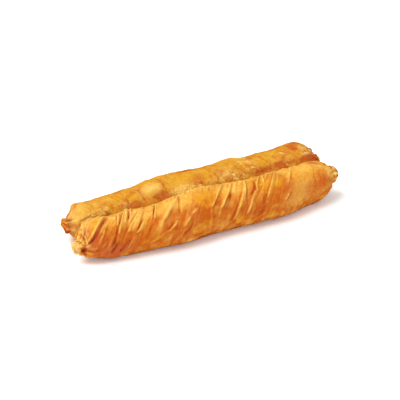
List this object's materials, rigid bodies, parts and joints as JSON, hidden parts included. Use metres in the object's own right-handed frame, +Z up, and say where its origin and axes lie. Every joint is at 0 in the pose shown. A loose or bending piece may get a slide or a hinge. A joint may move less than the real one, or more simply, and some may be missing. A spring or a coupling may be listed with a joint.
{
  "type": "spinach and cheese pie",
  "caption": "Golden twin-roll savoury pie of twisted, pleated filo pastry, two rolls baked side by side with pinched tails at the ends.",
  "frame": {"origin": "centre of the bottom of the pie's bounding box", "axes": "+X along the rolls, -Y towards the pleated front roll, +Z up"},
  "size_m": [0.2352, 0.0718, 0.0366],
  "materials": {
    "filo_front": "baked filo pastry, golden brown with paler ridges, mostly matt",
    "filo_back": "baked filo pastry, golden yellow with browned recesses, mostly matt"
  },
  "bodies": {
    "root": {"roll_front": "filo_front", "roll_back": "filo_back"}
  },
  "joints": []
}
